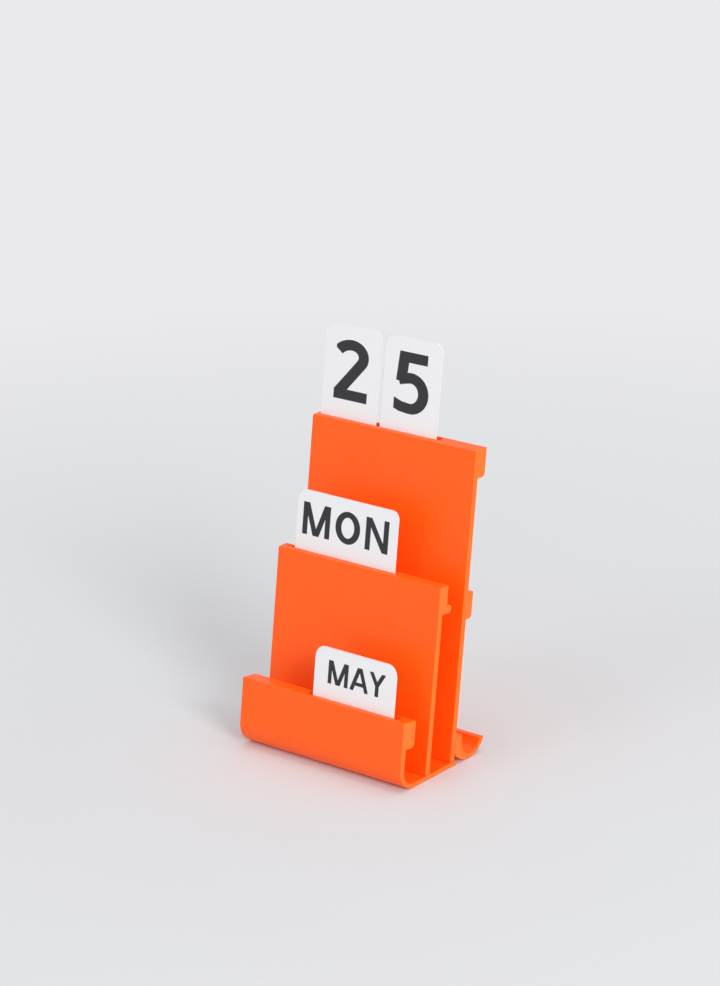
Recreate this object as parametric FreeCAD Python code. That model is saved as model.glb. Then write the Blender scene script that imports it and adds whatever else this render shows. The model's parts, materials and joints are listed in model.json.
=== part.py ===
import FreeCAD, Part
import os
from math import cos, radians, sin, sqrt, tan

# Perpetual desk calendar: three stepped card panels on a pen tray, with a small tray behind.
# X runs along the width, +Y to the back, +Z up. The desk is z = 0, and the origin lies on it,
# midway between the two lines on which the front tray and the rear tray touch the desk.

# Driving dimensions, in millimetres and degrees.
stand_width = 86.0
lean = 8.0                      # every panel leans back by this angle
panel_thickness = 2.8
floor_thickness = 2.0

front_wall_height = 30.2        # top front edge of each panel above the desk
middle_panel_height = 81.4
rear_panel_height = 133.6
middle_top_rise = 0.75          # how much higher the back edge of a panel's top is, along the lean
rear_top_rise = 1.0
trough_pitch = 17.85            # front wall's face to middle panel's face, along Y
gap_pitch = 16.95               # middle panel's face to rear panel's face, along Y

trough_radius = 6.3             # inner corner between front wall and floor
edge_radius = 0.4               # every outer edge of the stand's pieces

pocket_height = 11.6            # pocket outside, from its underside to the panel's top
pocket_floor = 1.8
pocket_wall = 1.4
pocket_corner = 2.0             # outer corner under each pocket
pocket_end = 1.6                # from the stand's side to the end of a slot beside it
month_spare = 2.2               # slot depth left behind the month cards
day_spare = 1.7                 # slot depth left behind the day cards
back_slot = 2.2                 # slot of the note pocket on the rear panel's back, full width
back_pocket_underside = 63.6    # along the rear panel, from the desk

ledge_height = 3.8              # rounded ledge under the weekday pocket
ledge_reach = 3.25              # how far it stands out behind that pocket

tray_offset = 13.25             # rear panel's face to the rear tray's line of contact, along Y
tray_outer_radius = 11.8
tray_inner_radius = 6.3
tray_inner_shift = 1.7          # basin's centre behind the line of contact
tray_rim_height = 6.65
tray_wall_height = 12.5

tenon_width = 14.0              # feet that pass through the floor
tenon_spacing = 48.0
tenon_end_gap = 0.2             # foot's end above the desk
floor_lip = 1.5                 # floor behind the rear panel

card_thickness = 0.25
day_card = (29.7, 49.7, 4.0)        # width, height, corner radius
weekday_card = (53.4, 35.9, 3.5)
month_card = (42.6, 31.3, 5.0)
card_stagger = 0.25                 # each card of a stack lies this far left of the one before it
day_room = (0.2, 1.45)              # slot left free beside the cards, to the left and to the right
weekday_room = (4.3, 0.8)
month_room = (2.1, 2.0)
day_spacing = 0.9                   # between the two day stacks
month_centre = 14.1                 # front month card's middle along X
tens_count = 2
ones_count = 5
weekday_count = 4
month_count = 6

# Named clearances.
seam_gap = 0.1                  # glued faces, and a foot in its slot
card_gap = 0.05                 # between cards, and before and under them in a slot
cut_overrun = 1.2               # how far a cut runs on past the face that it opens

# Sizes that follow.
lean_cos = cos(radians(lean))
lean_sin = sin(radians(lean))
lean_tan = tan(radians(lean))
half_width = stand_width / 2
trough_outer_radius = trough_radius + panel_thickness
corner_reach = trough_outer_radius * (1 + lean_sin) / lean_cos
contact_span = trough_pitch + gap_pitch + tray_offset - corner_reach

front_contact_y = -contact_span / 2
front_face_y = front_contact_y - corner_reach      # where each face's plane meets the desk
middle_face_y = front_face_y + trough_pitch
rear_face_y = middle_face_y + gap_pitch
tray_contact_y = rear_face_y + tray_offset


def stack_room(count):
    """Slot depth that a stack of cards needs."""
    return count * card_thickness + (count + 1) * card_gap


def stack_fan(count):
    """How far the last card of a stack lies left of the first."""
    return (count - 1) * card_stagger


front_slot = stack_room(month_count) + month_spare
middle_slot = stack_room(weekday_count)
rear_slot = stack_room(max(tens_count, ones_count)) + day_spare

slot_start = pocket_end - half_width
tens_centre = slot_start + day_room[0] + stack_fan(tens_count) + day_card[0] / 2
ones_centre = tens_centre + day_card[0] + day_spacing + stack_fan(ones_count)
weekday_centre = slot_start + weekday_room[0] + stack_fan(weekday_count) + weekday_card[0] / 2
month_slot_start = month_centre - month_card[0] / 2 - stack_fan(month_count) - month_room[0]


def leaning(face_y, along, behind):
    """Point on the YZ plane, from its distance up a panel and behind that panel's face."""
    y = face_y + along * lean_sin + behind * lean_cos
    z = along * lean_cos - behind * lean_sin
    return FreeCAD.Vector(0, y, z)


def at_height(face_y, z, behind):
    """Point on the YZ plane at height z, the given distance behind a panel's face."""
    return FreeCAD.Vector(0, face_y + z * lean_tan + behind / lean_cos, z)


def top_along(height):
    """Distance up a panel of its top edge."""
    return height / lean_cos


def arc(start, centre, radius, end):
    """Shorter arc from start to end about a centre."""
    middle = (start + end) * 0.5 - centre
    middle.normalize()
    return Part.Arc(start, centre + middle * radius, end).toShape()


def line(start, end):
    return Part.LineSegment(start, end).toShape()


def extruded(edges, low_x, high_x):
    """Solid from a closed outline on the YZ plane, between two places along X."""
    face = Part.Face(Part.Wire(edges))
    face.translate(FreeCAD.Vector(low_x, 0, 0))
    return face.extrude(FreeCAD.Vector(high_x - low_x, 0, 0))


def polygon(points):
    return [line(points[i], points[(i + 1) % len(points)]) for i in range(len(points))]


def softened(solid):
    """The same solid with every edge rounded."""
    return solid.makeFillet(edge_radius, solid.Edges)


def pocket_slot(face_y, top, slot, low_x, high_x):
    """Space behind a panel for cards or notes, open at the pocket's top."""
    low = top - pocket_height + pocket_floor
    high = top + cut_overrun
    front = panel_thickness
    corners = [leaning(face_y, low, front), leaning(face_y, high, front),
               leaning(face_y, high, front + slot), leaning(face_y, low, front + slot)]
    return extruded(polygon(corners), low_x, high_x)


def pocket_back(face_y, underside, back_top, outer, panel_back):
    """Edges from a panel's back, under a pocket with a rounded corner and up its back."""
    turn = leaning(face_y, underside, outer - pocket_corner)
    centre = leaning(face_y, underside + pocket_corner, outer - pocket_corner)
    rise = leaning(face_y, underside + pocket_corner, outer)
    return [line(leaning(face_y, underside, panel_back), turn),
            arc(turn, centre, pocket_corner, rise),
            line(rise, leaning(face_y, back_top, outer))]


def tenons(face_y):
    """Feet of a panel, through the floor."""
    low = tenon_end_gap
    high = floor_thickness + seam_gap
    outline = [at_height(face_y, low, 0), at_height(face_y, high, 0),
               at_height(face_y, high, panel_thickness), at_height(face_y, low, panel_thickness)]
    return [extruded(polygon(outline), centre - tenon_width / 2, centre + tenon_width / 2)
            for centre in (-tenon_spacing / 2, tenon_spacing / 2)]


def tenon_slots(face_y):
    """Slots in the floor for a panel's feet."""
    low = -cut_overrun
    high = floor_thickness + cut_overrun
    front = -seam_gap
    back = panel_thickness + seam_gap
    outline = [at_height(face_y, low, front), at_height(face_y, high, front),
               at_height(face_y, high, back), at_height(face_y, low, back)]
    reach = tenon_width / 2 + seam_gap
    return [extruded(polygon(outline), centre - reach, centre + reach)
            for centre in (-tenon_spacing / 2, tenon_spacing / 2)]


def front_tray():
    """Front wall with the month pocket, pen trough and floor."""
    top = top_along(front_wall_height)
    outer = panel_thickness + front_slot + pocket_wall
    outer_centre = FreeCAD.Vector(0, front_contact_y, trough_outer_radius)
    face_end = leaning(front_face_y, trough_outer_radius * (1 + lean_sin) / lean_cos, 0)
    contact = FreeCAD.Vector(0, front_contact_y, 0)
    floor_end_y = rear_face_y + (panel_thickness / lean_cos) + floor_thickness * lean_tan + floor_lip
    inner_centre_z = floor_thickness + trough_radius
    inner_centre = at_height(front_face_y, inner_centre_z, panel_thickness + trough_radius)
    floor_start = FreeCAD.Vector(0, inner_centre.y, floor_thickness)
    inner_end = inner_centre - FreeCAD.Vector(0, lean_cos, -lean_sin) * trough_radius
    underside = top - pocket_height
    edges = [line(leaning(front_face_y, top, 0), face_end),
             arc(face_end, outer_centre, trough_outer_radius, contact),
             line(contact, FreeCAD.Vector(0, floor_end_y, 0)),
             line(FreeCAD.Vector(0, floor_end_y, 0), FreeCAD.Vector(0, floor_end_y, floor_thickness)),
             line(FreeCAD.Vector(0, floor_end_y, floor_thickness), floor_start),
             arc(floor_start, inner_centre, trough_radius, inner_end),
             line(inner_end, leaning(front_face_y, underside, panel_thickness))]
    edges += pocket_back(front_face_y, underside, top, outer, panel_thickness)
    edges.append(line(leaning(front_face_y, top, outer), leaning(front_face_y, top, 0)))
    solid = softened(extruded(edges, -half_width, half_width))
    slot_end = month_centre + month_card[0] / 2 + month_room[1]
    solid = solid.cut(pocket_slot(front_face_y, top, front_slot, month_slot_start, slot_end))
    for face_y in (middle_face_y, rear_face_y):
        for slot in tenon_slots(face_y):
            solid = solid.cut(slot)
    return solid


def standing_panel(face_y, height, back_edges, slots):
    """Panel that stands on the floor, with pockets on its back."""
    top = top_along(height)
    foot_z = floor_thickness + seam_gap
    foot_front = at_height(face_y, foot_z, 0)
    foot_back = at_height(face_y, foot_z, panel_thickness)
    first = back_edges[0].Vertexes[0].Point
    last = back_edges[-1].Vertexes[-1].Point
    face_top = leaning(face_y, top, 0)
    edges = [line(foot_front, foot_back), line(foot_back, first)] + back_edges
    edges += [line(last, face_top), line(face_top, foot_front)]
    solid = softened(extruded(edges, -half_width, half_width))
    for slot in slots:
        solid = solid.cut(slot)
    for foot in tenons(face_y):
        solid = solid.fuse(foot)
    return solid.removeSplitter()


def middle_panel():
    """Panel with the weekday pocket and the rounded ledge under it."""
    top = top_along(middle_panel_height)
    underside = top - pocket_height
    outer = panel_thickness + middle_slot + pocket_wall
    nose = ledge_height / 2
    nose_behind = outer + ledge_reach - nose
    low = leaning(middle_face_y, underside, nose_behind)
    high = leaning(middle_face_y, underside + ledge_height, nose_behind)
    tip = leaning(middle_face_y, underside + nose, nose_behind + nose)
    step = leaning(middle_face_y, underside + ledge_height, outer)
    back = [line(leaning(middle_face_y, underside, panel_thickness), low),
            Part.Arc(low, tip, high).toShape(),
            line(high, step),
            line(step, leaning(middle_face_y, top + middle_top_rise, outer))]
    slot_end = weekday_centre + weekday_card[0] / 2 + weekday_room[1]
    slots = [pocket_slot(middle_face_y, top, middle_slot, slot_start, slot_end)]
    return standing_panel(middle_face_y, middle_panel_height, back, slots)


def rear_panel():
    """Panel with the day pocket at its top and a note pocket half-way down its back."""
    top = top_along(rear_panel_height)
    underside = top - pocket_height
    outer = panel_thickness + rear_slot + pocket_wall
    note_outer = panel_thickness + back_slot + pocket_wall
    note_top = back_pocket_underside + pocket_height
    back = pocket_back(rear_face_y, back_pocket_underside, note_top, note_outer, panel_thickness)
    note_end = leaning(rear_face_y, note_top, note_outer)
    note_back = leaning(rear_face_y, note_top, panel_thickness)
    back += [line(note_end, note_back),
             line(note_back, leaning(rear_face_y, underside, panel_thickness))]
    back += pocket_back(rear_face_y, underside, top + rear_top_rise, outer, panel_thickness)
    slot_end = ones_centre + day_card[0] / 2 + day_room[1]
    slots = [pocket_slot(rear_face_y, top, rear_slot, slot_start, slot_end),
             pocket_slot(rear_face_y, note_top, back_slot, slot_start, -slot_start)]
    return standing_panel(rear_face_y, rear_panel_height, back, slots)


def rear_tray():
    """Shallow tray glued against the rear panel's back, resting on the desk."""
    outer_centre = FreeCAD.Vector(0, tray_contact_y, tray_outer_radius)
    inner_centre = FreeCAD.Vector(0, tray_contact_y + tray_inner_shift, floor_thickness + tray_inner_radius)
    seat = panel_thickness + seam_gap
    centre_behind = (outer_centre.y - rear_face_y) * lean_cos - outer_centre.z * lean_sin
    centre_along = (outer_centre.y - rear_face_y) * lean_sin + outer_centre.z * lean_cos
    drop = sqrt(tray_outer_radius ** 2 - (centre_behind - seat) ** 2)
    seat_low = leaning(rear_face_y, centre_along - drop, seat)
    seat_high = at_height(rear_face_y, tray_wall_height, seat)
    wall_top = FreeCAD.Vector(0, inner_centre.y - tray_inner_radius, tray_wall_height)
    wall_foot = FreeCAD.Vector(0, wall_top.y, inner_centre.z)
    basin = FreeCAD.Vector(0, inner_centre.y, floor_thickness)
    rim_inner_y = inner_centre.y + sqrt(tray_inner_radius ** 2 - (tray_rim_height - inner_centre.z) ** 2)
    rim_outer_y = outer_centre.y + sqrt(tray_outer_radius ** 2 - (tray_rim_height - outer_centre.z) ** 2)
    rim_inner = FreeCAD.Vector(0, rim_inner_y, tray_rim_height)
    rim_outer = FreeCAD.Vector(0, rim_outer_y, tray_rim_height)
    contact = FreeCAD.Vector(0, tray_contact_y, 0)
    edges = [line(seat_low, seat_high),
             line(seat_high, wall_top),
             line(wall_top, wall_foot),
             arc(wall_foot, inner_centre, tray_inner_radius, basin),
             arc(basin, inner_centre, tray_inner_radius, rim_inner),
             line(rim_inner, rim_outer),
             arc(rim_outer, outer_centre, tray_outer_radius, contact),
             arc(contact, outer_centre, tray_outer_radius, seat_low)]
    return softened(extruded(edges, -half_width, half_width))


def card(face_y, underside, size, centre_x, place):
    """One card of a stack with round corners; place counts from the panel, from nought."""
    width, height, corner = size
    low = underside + pocket_floor + card_gap
    behind = panel_thickness + card_gap + place * (card_thickness + card_gap)
    blank = Part.makeBox(width, card_thickness, height, FreeCAD.Vector(-width / 2, 0, 0))
    upright = [e for e in blank.Edges if abs(e.Vertexes[0].Y - e.Vertexes[1].Y) > card_thickness / 2]
    blank = blank.makeFillet(corner, upright)
    blank.rotate(FreeCAD.Vector(0, 0, 0), FreeCAD.Vector(1, 0, 0), -lean)
    foot = leaning(face_y, low, behind)
    blank.translate(FreeCAD.Vector(centre_x - place * card_stagger, foot.y, foot.z))
    return blank


def card_stack(name, face_y, height, size, centre_x, count):
    """Every card of one stack, by node name."""
    underside = top_along(height) - pocket_height
    return {f"{name}_card_{place + 1}": card(face_y, underside, size, centre_x, place)
            for place in range(count)}


nodes = {
    "front_tray": front_tray(),
    "middle_panel": middle_panel(),
    "rear_panel": rear_panel(),
    "rear_tray": rear_tray(),
}
nodes.update(card_stack("tens", rear_face_y, rear_panel_height, day_card, tens_centre, tens_count))
nodes.update(card_stack("ones", rear_face_y, rear_panel_height, day_card, ones_centre, ones_count))
nodes.update(card_stack("weekday", middle_face_y, middle_panel_height, weekday_card,
                        weekday_centre, weekday_count))
nodes.update(card_stack("month", front_face_y, front_wall_height, month_card, month_centre, month_count))

os.makedirs("parts", exist_ok=True)
for node, shape in nodes.items():
    shape.exportStep(f"parts/{node}.step")
    box = shape.BoundBox
    print(f"{node:16s} solids {len(shape.Solids)}  valid {shape.isValid()}  volume {shape.Volume:9.2f}"
          f"  y {box.YMin:7.2f} {box.YMax:7.2f}  z {box.ZMin:7.2f} {box.ZMax:7.2f}")
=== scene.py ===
import json
from math import cos, pi, radians, sin

import bmesh
import bpy
from mathutils import Matrix, Vector
from mathutils.geometry import delaunay_2d_cdt


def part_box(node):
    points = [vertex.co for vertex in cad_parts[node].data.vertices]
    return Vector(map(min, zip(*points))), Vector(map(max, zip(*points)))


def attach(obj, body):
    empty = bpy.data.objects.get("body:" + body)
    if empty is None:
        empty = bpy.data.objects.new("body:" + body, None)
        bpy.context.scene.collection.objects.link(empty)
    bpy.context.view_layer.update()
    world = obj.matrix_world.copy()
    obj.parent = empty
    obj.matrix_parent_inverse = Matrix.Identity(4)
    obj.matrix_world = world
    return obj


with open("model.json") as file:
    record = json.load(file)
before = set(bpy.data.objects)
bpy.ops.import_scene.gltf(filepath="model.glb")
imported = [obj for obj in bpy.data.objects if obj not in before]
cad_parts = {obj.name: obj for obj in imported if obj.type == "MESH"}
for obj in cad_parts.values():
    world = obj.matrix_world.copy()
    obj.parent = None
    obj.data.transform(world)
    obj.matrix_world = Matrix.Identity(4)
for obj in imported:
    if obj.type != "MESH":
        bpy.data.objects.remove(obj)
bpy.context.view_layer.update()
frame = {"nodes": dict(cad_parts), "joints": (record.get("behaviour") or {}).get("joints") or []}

mm = 0.001
up = Vector(frame["joints"][0]["axis"])       # the way every panel and card leans


class Wire:                                   # a socket that can be used in sums
    def __init__(self, shader, socket):
        self.shader = shader
        self.socket = socket

    def maths(self, operation, *values):
        inputs = dict(enumerate(values))
        return self.shader.add("ShaderNodeMath", {"operation": operation}, inputs)

    def __add__(self, other):
        return self.maths("ADD", self, other)

    def __radd__(self, other):
        return self.maths("ADD", other, self)

    def __sub__(self, other):
        return self.maths("SUBTRACT", self, other)

    def __rsub__(self, other):
        return self.maths("SUBTRACT", other, self)

    def __mul__(self, other):
        return self.maths("MULTIPLY", self, other)

    def __rmul__(self, other):
        return self.maths("MULTIPLY", other, self)

    def __truediv__(self, other):
        return self.maths("DIVIDE", self, other)

    def __pow__(self, other):
        return self.maths("POWER", self, other)

    def __abs__(self):
        return self.maths("ABSOLUTE", self)

    def __gt__(self, other):
        return self.maths("GREATER_THAN", self, other)

    def __lt__(self, other):
        return self.maths("LESS_THAN", self, other)

    def floor(self):
        return self.maths("FLOOR", self)

    def fract(self):
        return self.maths("FRACT", self)

    def clamp(self):                          # kept between 0 and 1
        return self.maths("MAXIMUM", self.maths("MINIMUM", self, 1), 0)


class Shader:                                 # the nodes of one material, or of the world
    def __init__(self, owner):
        self.owner = owner
        owner.use_nodes = True
        self.tree = owner.node_tree
        self.tree.nodes.clear()

    def add(self, kind, settings=None, inputs=None, out=0):
        node = self.tree.nodes.new(kind)
        for key, value in (settings or {}).items():
            setattr(node, key, value)
        for key, value in (inputs or {}).items():
            if isinstance(value, Wire):
                self.tree.links.new(value.socket, node.inputs[key])
            else:
                node.inputs[key].default_value = value
        if isinstance(out, tuple):
            return [Wire(self, node.outputs[key]) for key in out]
        return Wire(self, node.outputs[out])

    def place(self):                          # the point in millimetres, and its x, y, z
        point = self.add("ShaderNodeTexCoord", out="Object")
        inputs = {0: point, "Scale": 1 / mm}
        scaled = self.add("ShaderNodeVectorMath", {"operation": "SCALE"}, inputs)
        return scaled, self.add("ShaderNodeSeparateXYZ", inputs={0: scaled}, out=("X", "Y", "Z"))

    def noise(self, point, scale, detail=2.0):
        inputs = {"Vector": point, "Scale": scale, "Detail": detail}
        return self.add("ShaderNodeTexNoise", inputs=inputs)

    def dice(self, value):                    # one random number for each whole value
        return self.add("ShaderNodeTexWhiteNoise", {"noise_dimensions": "1D"}, {"W": value})

    def blend(self, factor, low, high):
        inputs = {0: factor, 6: low, 7: high}
        return self.add("ShaderNodeMix", {"data_type": "RGBA"}, inputs, out=2)

    def bump(self, height):                   # height in millimetres
        inputs = {"Height": height, "Distance": mm, "Strength": 1.0}
        return self.add("ShaderNodeBump", inputs=inputs)

    def seen(self):                           # above 0 where the camera sees it, also by mirror or glass
        rays = ("Is Camera Ray", "Is Glossy Ray", "Is Transmission Ray")
        direct, glossy, through = self.add("ShaderNodeLightPath", out=rays)
        return direct + glossy + through

    def mixed(self, factor, lit, plain):      # plain is a colour that shows as it is
        kind = "ShaderNodeEmission" if self.isMaterial() else "ShaderNodeBackground"
        flat = self.add(kind, inputs={"Color": plain})
        return self.add("ShaderNodeMixShader", inputs={0: factor, 1: lit, 2: flat})

    def isMaterial(self):
        return isinstance(self.owner, bpy.types.Material)

    def output(self, shader):
        kind = "ShaderNodeOutputMaterial" if self.isMaterial() else "ShaderNodeOutputWorld"
        self.add(kind, inputs={"Surface": shader}, out=())

    def surface(self, **sockets):
        inputs = {key.replace("_", " "): value for key, value in sockets.items()}
        self.output(self.add("ShaderNodeBsdfPrincipled", inputs=inputs))
        return self.owner


def newShader(name):
    return Shader(bpy.data.materials.new(name))


def colour(red, green, blue):                 # screen colour, 0 to 255, as a linear one
    def linear(value):                        # the sRGB curve
        value /= 255
        return value / 12.92 if value <= 0.04045 else ((value + 0.055) / 1.055) ** 2.4
    return (linear(red), linear(green), linear(blue), 1.0)


camera = {
    "azimuth": 38.77,
    "elevation": 18.93,
    "roll": -0.79,
    "aim": (-29.7 * mm, 38.9 * mm, 96.96 * mm),
    "distance": 1.415,
    "lens": 121.1,
    "film": 36.0,
    "reach": 30,                              # nothing further off is shown
}


def makeCamera(look):
    data = bpy.data.cameras.new("camera")
    data.lens = look["lens"]
    data.sensor_width = look["film"]
    data.clip_end = look["reach"]
    eye = bpy.data.objects.new("camera", data)
    turn = Matrix.Rotation(radians(look["azimuth"]), 4, "Z")
    tilt = Matrix.Rotation(pi / 2 - radians(look["elevation"]), 4, "X")
    roll = Matrix.Rotation(radians(look["roll"]), 4, "Z")
    pose = turn @ tilt @ roll
    away = pose.to_3x3() @ Vector((0, 0, look["distance"]))
    eye.matrix_world = Matrix.Translation(Vector(look["aim"]) + away) @ pose
    bpy.context.scene.collection.objects.link(eye)
    bpy.context.scene.camera = eye


makeCamera(camera)
print("camera placed")


studio = {
    "floorSize": 12.0,
    "floorDrop": 0.05 * mm,                   # keeps the floor clear of the stand's underside
    "floorCloud": 0.004,
    "floorRoughness": 0.75,
    "floorPale": colour(220, 222, 224),
    "floorDeep": colour(216, 218, 221),
    "farTone": colour(234, 234, 236),         # what the floor fades to, and the sky's own tone
    "fadeStart": 0.12,
    "fadeEnd": 0.7,
    "skyLight": 0.50,                         # strength of the white light from all round
    "lamps": {                                # place, size and power
        "keyLamp": ((2.65, -1.24, 1.37), 1.3, 60.0),
        "fillLamp": ((-0.7, -2.7, 1.6), 1.3, 10.0),
        "topLamp": ((0.2, 0.3, 2.6), 2.0, 20.0),
    },
    "lampAim": (0.0, 0.0, 0.07),
}


def makeFloor(look):                          # its far part shows as plain as the sky
    shader = newShader("paleFloor")
    point, (x, y, _) = shader.place()
    tone = shader.blend(shader.noise(point, look["floorCloud"]), look["floorPale"], look["floorDeep"])
    radius = (x ** 2 + y ** 2) ** 0.5 * mm
    fade = (radius - look["fadeStart"]) / (look["fadeEnd"] - look["fadeStart"])
    inputs = {"Base Color": tone, "Roughness": look["floorRoughness"]}
    paint = shader.add("ShaderNodeBsdfPrincipled", inputs=inputs)
    shader.output(shader.mixed(shader.seen() * fade.clamp(), paint, look["farTone"]))
    half = look["floorSize"] / 2
    mesh = bpy.data.meshes.new("floor")
    corners = [(-half, -half, 0), (half, -half, 0), (half, half, 0), (-half, half, 0)]
    mesh.from_pydata(corners, [], [(0, 1, 2, 3)])
    mesh.materials.append(shader.owner)
    floor = bpy.data.objects.new("floor", mesh)
    floor.location.z = -look["floorDrop"]
    bpy.context.scene.collection.objects.link(floor)


def makeSky(look):                            # white light, which shows as the far floor's tone
    world = bpy.data.worlds.new("studioWorld")
    bpy.context.scene.world = world
    shader = Shader(world)
    white = {"Color": (1.0, 1.0, 1.0, 1.0), "Strength": look["skyLight"]}
    light = shader.add("ShaderNodeBackground", inputs=white)
    shader.output(shader.mixed(shader.seen(), light, look["farTone"]))


def makeLamps(look):
    for name, (place, size, power) in look["lamps"].items():
        data = bpy.data.lights.new(name, "AREA")
        data.shape = "DISK"
        data.size = size
        data.energy = power
        lamp = bpy.data.objects.new(name, data)
        lamp.location = place
        aim = Vector(look["lampAim"]) - Vector(place)
        lamp.rotation_euler = aim.to_track_quat("-Z", "Y").to_euler()
        bpy.context.scene.collection.objects.link(lamp)


makeFloor(studio)
makeSky(studio)
makeLamps(studio)
bpy.context.scene.view_settings.view_transform = "Standard"
print("studio lit")


plastic = {
    "base": colour(255, 103, 10),
    "deep": colour(254, 94, 6),
    # painted light: end faces get lighter tones than the sides, as if lit by the lamp at the right; the
    # two tones also differ at random from track to track
    "endPaintedLightPale": colour(255, 122, 30),
    "endPaintedLightDeep": colour(255, 107, 16),
    "endSlope": 0.7,                          # a face turned this far sideways is an end
    "layer": 0.24,                            # printed layers, stacked along the width
    "layerDepth": 0.012,
    "layerUneven": 0.35,                      # how much the layers differ in height
    "layerEdge": 3,                           # higher powers give narrower grooves
    "track": 0.46,                            # printed lines that follow the outline of an end
    "trackDepth": 0.02,
    "trackEdge": 4,
    "fleck": 0.9,                             # flecks and clouds per millimetre
    "fleckDetail": 3.0,
    "fleckDepth": 0.006,
    "cloud": 0.035,
    "shares": (0.6, 0.25, 0.15),              # of cloud, layer and fleck in the shade
    "roughness": 0.36,
    "roughnessSpread": 0.10,
    "specular": 0.32,
    "paintedGlowColour": (1.0, 0.04, 0.0, 1.0),          # painted glow: red light that the plastic gives off though it is no lamp, so its shaded parts stay red
    "paintedGlowStrength": 0.08,
    "glow": 0.35,                             # light that passes through thin walls
    "glowDepth": 5 * mm,
}


def printedPlastic(name, look, hollow=None):  # hollow: y, z of a centre that the tracks run round
    shader = newShader(name)
    point, (x, y, z) = shader.place()
    normal = shader.add("ShaderNodeNewGeometry", out="True Normal")
    onEnd = abs(shader.add("ShaderNodeSeparateXYZ", inputs={0: normal}, out="X")) > look["endSlope"]
    layers = x / look["layer"]
    lot = shader.dice(layers.floor())
    bead = 1 - (abs(layers.fract() - 0.5) * 2) ** look["layerEdge"]
    across = y * up.z - z * up.y
    if hollow:
        radius = ((y - hollow[0]) ** 2 + (z - hollow[1]) ** 2) ** 0.5
        low = z < hollow[1]
        across = low * radius + (1 - low) * across
    tracks = across / look["track"]
    track = 1 - (abs(tracks.fract() - 0.5) * 2) ** look["trackEdge"]
    # painted light on the ends: a lighter colour, with a random tone for each printed track
    endPaintedLightTone = shader.blend(shader.dice(tracks.floor()), look["endPaintedLightPale"], look["endPaintedLightDeep"])
    fleck = shader.noise(point, look["fleck"], look["fleckDetail"])
    cloud = shader.noise(point, look["cloud"])
    ofCloud, ofLayer, ofFleck = look["shares"]
    shade = cloud * ofCloud + lot * ofLayer * (1 - onEnd) + fleck * ofFleck
    layerHeight = (bead + lot * look["layerUneven"]) * look["layerDepth"] * (1 - onEnd)
    trackHeight = track * look["trackDepth"] * onEnd
    return shader.surface(
        Base_Color=shader.blend(onEnd, shader.blend(shade, look["base"], look["deep"]), endPaintedLightTone),
        Roughness=look["roughness"] + look["roughnessSpread"] * (lot * 0.5 + fleck * 0.5),
        Specular_IOR_Level=look["specular"],
        # painted glow: the plastic gives off a little red light everywhere
        Emission_Color=look["paintedGlowColour"],
        Emission_Strength=look["paintedGlowStrength"],
        Subsurface_Weight=look["glow"],
        Subsurface_Scale=look["glowDepth"],
        Normal=shader.bump(layerHeight + trackHeight + fleck * look["fleckDepth"]),
    )


cardStock = {
    "white": colour(240, 240, 242),
    "shade": colour(235, 235, 238),
    "fibre": 2.2,                             # fibres and clouds per millimetre
    "fibreDetail": 5.0,
    "fibreDepth": 0.004,
    "cloud": 0.08,
    "roughness": 0.55,
    "roughnessSpread": 0.12,
}

ink = {
    "tone": colour(28, 29, 34),
    "worn": colour(36, 37, 43),
    "fibre": 3.0,
    "fibreDetail": 5.0,
    "fibreDepth": 0.004,
    "cloud": 0.08,
    "roughness": 0.5,
    "roughnessSpread": 0.15,
    "thickness": 0.02 * mm,
    "sunk": 0.01 * mm,                        # how far it goes into the card
}


def paper(name, look, pale, deep):
    shader = newShader(name)
    point, _ = shader.place()
    fibre = shader.noise(point, look["fibre"], look["fibreDetail"])
    cloud = shader.noise(point, look["cloud"])
    return shader.surface(
        Base_Color=shader.blend(fibre * 0.5 + cloud * 0.5, look[pale], look[deep]),
        Roughness=look["roughness"] + look["roughnessSpread"] * fibre,
        Normal=shader.bump(fibre * look["fibreDepth"]),
    )


hollows = {                                   # y, z of the middle of each trough, in millimetres
    "front": (-18.9, 8.3),
    "rear": (20.5, 8.3),
}

finishes = {
    "panel": printedPlastic("panelPlastic", plastic),
    "frontTray": printedPlastic("frontTrayPlastic", plastic, hollows["front"]),
    "rearTray": printedPlastic("rearTrayPlastic", plastic, hollows["rear"]),
    "card": paper("whiteCard", cardStock, "white", "shade"),
    "ink": paper("darkInk", ink, "tone", "worn"),
}
print("finishes ready")


creaseAngle = radians(32)                     # sharper edges than this are shaded as edges


def finish(node, finishName):
    mesh = frame["nodes"][node].data
    mesh.materials.clear()
    mesh.materials.append(finishes[finishName])
    mesh.shade_smooth()
    mesh.set_sharp_from_angle(angle=creaseAngle)


stand = {
    "front_tray": "frontTray",
    "middle_panel": "panel",
    "rear_panel": "panel",
    "rear_tray": "rearTray",
}
for node, finishName in stand.items():
    finish(node, finishName)
print("stand coloured")


arcStep = 9                                   # degrees between the points of an arc
fewestSteps = 6
mitreLimit = 0.4
tiny = 1e-6


def bow(cx, cy, rx, ry, start, end):          # points on an arc, in degrees
    steps = max(fewestSteps, int(abs(end - start) / arcStep))
    turns = [radians(start + (end - start) * i / steps) for i in range(steps + 1)]
    return [(cx + rx * cos(a), cy + ry * sin(a)) for a in turns]


def ring(cx, cy, rx, ry):
    return bow(cx, cy, rx, ry, 0, 360)


def post(x):                                  # upright from foot to top
    return [(x, -0.3), (x, 1.3)]


def rail(y, left, right):                     # level stroke
    return [(left, y), (right, y)]


def belly(h, rightmost, low, high):           # bow that closes on a left post, as in D and P
    rx = min(rightmost - h, (high - low) * 0.52)
    curve = bow(rightmost - rx, (low + high) / 2, rx, (high - low) / 2, 90, -90)
    return [(h, high)] + curve + [(h, low)]


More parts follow.
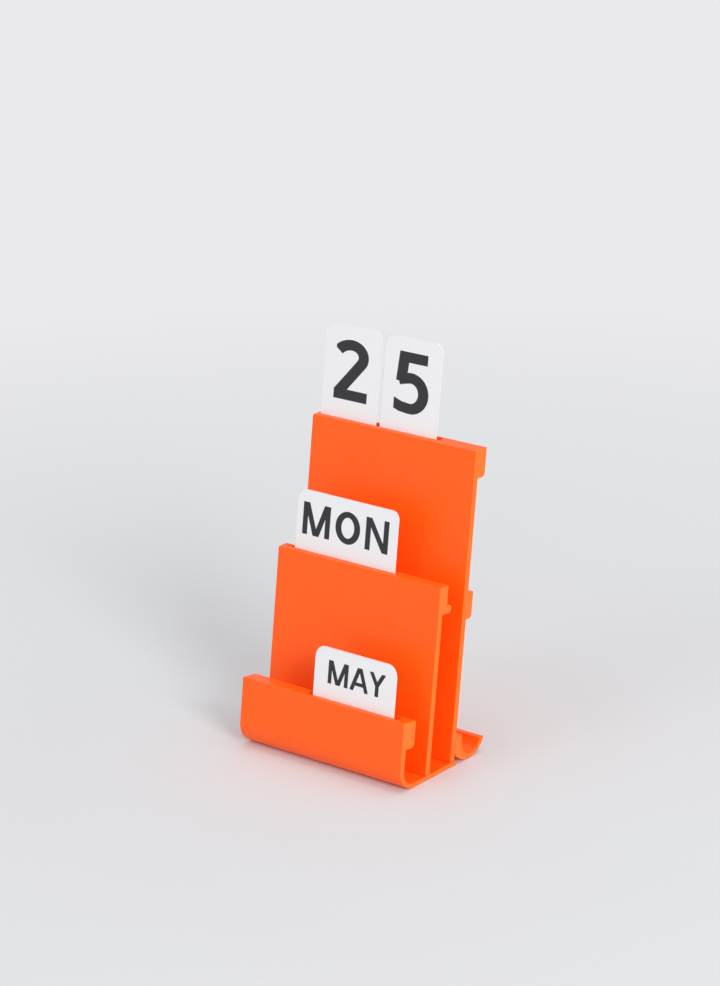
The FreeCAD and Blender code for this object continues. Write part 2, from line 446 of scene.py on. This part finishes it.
def digitStrokes(w, h):
    m, r, t = w / 2, w / 2 - h, 1 - h
    stem = w * 0.62
    return {
        "0": [ring(m, 0.5, r, 0.5 - h)],
        "1": [post(stem), [(stem + 0.02, t + 0.02), (stem - 0.24, 0.77)]],
        "2": [bow(m - 0.02, 0.66, r + 0.07, t - 0.66, 146, 92)
              + bow(m - 0.02, 0.725, r + 0.01, t - 0.725, 90, -36) + [(-0.02, -0.02)],
              rail(h, 0, w)],
        "3": [bow(m - 0.03, 0.68, r + 0.05, t - 0.68, 142, 92)
              + bow(m - 0.03, 0.725, r, t - 0.725, 90, -90) + [(m - 0.1, 0.534)],
              [(m - 0.1, 0.534)] + bow(m - 0.03, 0.31, r + 0.03, 0.224, 90, -84)
              + [(0.1, 0.1), (-0.06, 0.16)]],
        "4": [post(w * 0.74), [(w * 0.78, 1.08), (h * 0.75, 0.24)], rail(0.26, 0, w)],
        "5": [rail(t, 0.052, w - 0.05), [(0.14, 1.08), (0.1, 0.508)],
              [(0.058, 0.532), (0.12, 0.552)] + bow(m - 0.02, 0.332, r + 0.02, 0.338 - h, 98, -86)
              + [(0.11, 0.1), (-0.06, 0.165)]],
        "6": [ring(m, 0.31, r, 0.31 - h), bow(m + 0.24, 0.31, r + 0.24, 0.61, 180, 98)],
        "7": [rail(t, 0, w), [(w - h * 0.8, t), (w * 0.24, -0.14)]],
        "8": [ring(m, t - 0.193, r - 0.02, 0.193), ring(m, h + 0.229, r, 0.229)],
        "9": [ring(m, 0.69, r, 0.31 - h), bow(m - 0.24, 0.69, r + 0.24, 0.61, 0, -82)],
    }


def letterStrokes(w, h):
    m, r, t = w / 2, w / 2 - h, 1 - h
    left, right = post(h), post(w - h)
    return {
        "A": [[(h * 0.35, -0.1), (m, 1.06)], [(w - h * 0.35, -0.1), (m, 1.06)],
              rail(0.3, w * 0.28, w * 0.72)],
        "B": [left, belly(h, w - h - 0.03, 0.53, t), belly(h, w - h, h, 0.53)],
        "C": [bow(m + 0.07, 0.5, r + 0.07, 0.5 - h, 54, 306)],
        "D": [left, belly(h, w - h, h, t)],
        "E": [left, rail(h, h, w), rail(0.52, h, w * 0.93), rail(t, h, w)],
        "F": [left, rail(0.47, h, w * 0.93), rail(t, h, w)],
        "G": [bow(m + 0.06, 0.5, r + 0.06, 0.5 - h, 54, 298), [(w - h, 0.11), (w - h, 0.46 + h)],
              rail(0.46, m, w - h)],
        "H": [left, right, rail(0.53, h, w - h)],
        "I": [post(m)],
        "J": [[(w - h, 1.3)] + bow(m - 0.06, 0.3, r + 0.06, 0.3 - h, 0, -84) + [(-0.05, 0.11)]],
        "L": [left, rail(h, h, w)],
        "M": [left, right, [(h * 0.9, 1.14), (m, -0.04)], [(w - h * 0.9, 1.14), (m, -0.04)]],
        "N": [left, right, [(h * 0.4, 1.1), (w - h * 0.4, -0.1)]],
        "O": [ring(m, 0.5, r, 0.5 - h), ring(m, 0.5, r - 0.028, 0.475 - h)],
        "P": [left, belly(h, w - h, 0.42, t)],
        "R": [left, belly(h, w - h - 0.03, 0.47, t), [(m - 0.02, 0.46), (w - h * 0.7, -0.12)]],
        "S": [bow(m, t - 0.193, r - 0.01, 0.193, 30, 240) + bow(m, h + 0.229, r, 0.229, 55, -150)],
        "T": [rail(t, 0, w), post(m)],
        "U": [[(h, 1.3)] + bow(m, 0.36, r, 0.36 - h, 180, 360) + [(w - h, 1.3)]],
        "V": [[(h * 0.4, 1.14), (m, -0.08)], [(w - h * 0.4, 1.14), (m, -0.08)]],
        "W": [[(h * 0.4, 1.12), (w * 0.28, -0.08)], [(m, 1.06), (w * 0.28, -0.08)],
              [(m, 1.06), (w * 0.72, -0.08)], [(w - h * 0.4, 1.12), (w * 0.72, -0.08)]],
        "Y": [[(h * 0.2, 1.12), (m, 0.46)], [(w - h * 0.2, 1.12), (m, 0.46)],
              [(m, 0.5), (m, -0.3)]],
    }


letterWidths = {                              # as a share of the height
    "A": 0.76, "B": 0.58, "C": 0.6, "D": 0.7, "E": 0.48, "F": 0.46, "G": 0.7, "H": 0.7,
    "I": 0.17, "J": 0.36, "L": 0.44, "M": 0.86, "N": 0.71, "O": 0.77, "P": 0.55, "R": 0.6,
    "S": 0.52, "T": 0.6, "U": 0.66, "V": 0.7, "W": 1.1, "Y": 0.68,
}


def strokeQuads(points, h):                   # a stroke as a row of quads with mitred corners
    spots = [Vector(p) for p in points]
    spots = [p for i, p in enumerate(spots) if i == 0 or (p - spots[i - 1]).length > tiny]
    closed = (spots[0] - spots[-1]).length < tiny
    if closed:
        spots = spots[:-1]
    ways = [(b - a).normalized() for a, b in zip(spots, spots[1:] + spots[:1])]
    sides = []
    for i, spot in enumerate(spots):
        before = ways[i - 1] if closed or i else ways[0]
        after = ways[i] if closed or i < len(spots) - 1 else before
        along = (before + after).normalized()
        out = Vector((-along.y, along.x)) * (h / max(mitreLimit, along.dot(after)))
        sides.append((spot + out, spot - out))
    if closed:
        sides.append(sides[0])
    return [(a[0], a[1], b[1], b[0]) for a, b in zip(sides, sides[1:])]


def flatShape(quads, wide):                   # union of quads, cut to the letter's box
    corners, faces = [], []
    box = [Vector(p) for p in ((0, 0), (wide, 0), (wide, 1), (0, 1))]
    for quad in [box] + quads:
        faces.append(list(range(len(corners), len(corners) + 4)))
        corners += list(quad)
    verts, _, made, _, _, parents = delaunay_2d_cdt(corners, [], faces, 1, tiny)
    return verts, [f for f, p in zip(made, parents) if 0 in p and len(p) > 1]


lettering = {
    "stretch": 1.22,                          # letters and strokes come out this much wider
    "digitWidth": 0.565,
    "digitStroke": 0.086,                     # half a stroke, as a share of the height
    "letterStroke": 0.078,
    "letterGap": 0.172,
    "closer": {                               # pairs that stand nearer each other
        "AY": 0.135, "AT": 0.12, "MA": 0.066, "OV": 0.06, "AU": 0.03,
    },
}


def outlinesOf(text, look):                   # flat shapes of each character, starting at zero
    shapes, x = [], 0
    for i, letter in enumerate(text):
        isDigit = letter.isdigit()
        width = look["digitWidth"] if isDigit else letterWidths[letter]
        half = look["digitStroke"] if isDigit else look["letterStroke"]
        strokes = (digitStrokes if isDigit else letterStrokes)(width, half)[letter]
        quads = [quad for stroke in strokes for quad in strokeQuads(stroke, half)]
        verts, faces = flatShape(quads, width)
        spots = [((x + v.x) * look["stretch"], v.y) for v in verts]
        shapes.append((spots, faces))
        x += width + look["letterGap"] - look["closer"].get(text[i:i + 2], 0)
    return shapes, (x - look["letterGap"]) * look["stretch"]


def makeInk(name, body, text, face, look):
    shapes, length = outlinesOf(text, lettering)
    size, baseline, shift = look["height"], look["baseline"], look["shift"]
    origin, side = face
    out = side.cross(up)
    mesh = bmesh.new()
    for spots, faces in shapes:
        flats = [origin + side * ((u - length / 2) * size + shift) + up * (baseline + v * size)
                 for u, v in spots]
        bottoms = [mesh.verts.new(p - out * ink["sunk"]) for p in flats]
        for corners in faces:
            mesh.faces.new([bottoms[i] for i in corners])
    loose = [v for v in mesh.verts if not v.link_faces]
    bmesh.ops.delete(mesh, geom=loose, context="VERTS")
    grown = bmesh.ops.extrude_face_region(mesh, geom=mesh.faces[:])
    tops = [v for v in grown["geom"] if isinstance(v, bmesh.types.BMVert)]
    bmesh.ops.translate(mesh, verts=tops, vec=out * (ink["sunk"] + ink["thickness"]))
    bmesh.ops.recalc_face_normals(mesh, faces=mesh.faces)
    data = bpy.data.meshes.new(name)
    mesh.to_mesh(data)
    mesh.free()
    data.materials.append(finishes["ink"])
    piece = bpy.data.objects.new(name, data)
    bpy.context.scene.collection.objects.link(piece)
    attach(piece, body)


def cardFaces(node):                          # foot of each face, and the way it reads
    low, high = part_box(node)
    size = high - low
    spread = up.z ** 2 - up.y ** 2
    tall = (size.z * up.z - size.y * up.y) / spread
    thick = (size.y * up.z - size.z * up.y) / spread
    foot = Vector(((low.x + high.x) / 2, low.y, high.z - tall * up.z))
    right = Vector((1, 0, 0))
    return {"front": (foot, right), "back": (foot + up.cross(right) * thick, -right)}


cards = {                                     # front and back of each card, the one in front first
    "tens": {
        "faces": [("2", "3"), ("0", "1")],
        "height": 25.7 * mm,
        "baseline": 18.15 * mm,
        "shift": 0.0,
    },
    "ones": {
        "faces": [("5", "6"), ("7", "8"), ("9", "0"), ("1", "2"), ("3", "4")],
        "height": 25.7 * mm,
        "baseline": 18.15 * mm,
        "shift": 0.25 * mm,
    },
    "weekday": {
        "faces": [("MON", "TUE"), ("WED", "THU"), ("FRI", "SAT"), ("SUN", "")],
        "height": 13.9 * mm,
        "baseline": 17.0 * mm,
        "shift": -0.73 * mm,
    },
    "month": {
        "faces": [("MAY", "JUN"), ("JUL", "AUG"), ("SEP", "OCT"), ("NOV", "DEC"),
                  ("JAN", "FEB"), ("MAR", "APR")],
        "height": 10.0 * mm,
        "baseline": 16.55 * mm,
        "shift": 0.75 * mm,
    },
}


for stack, look in cards.items():
    for number, words in enumerate(look["faces"], 1):
        node = f"{stack}_card_{number}"
        finish(node, "card")
        for side, text in zip(("front", "back"), words):
            if text:
                name = f"{stack}_ink_{number}_{side}"
                makeInk(name, f"{stack}_{number}", text, cardFaces(node)[side], look)
    print(stack, "cards printed:", len(look["faces"]))
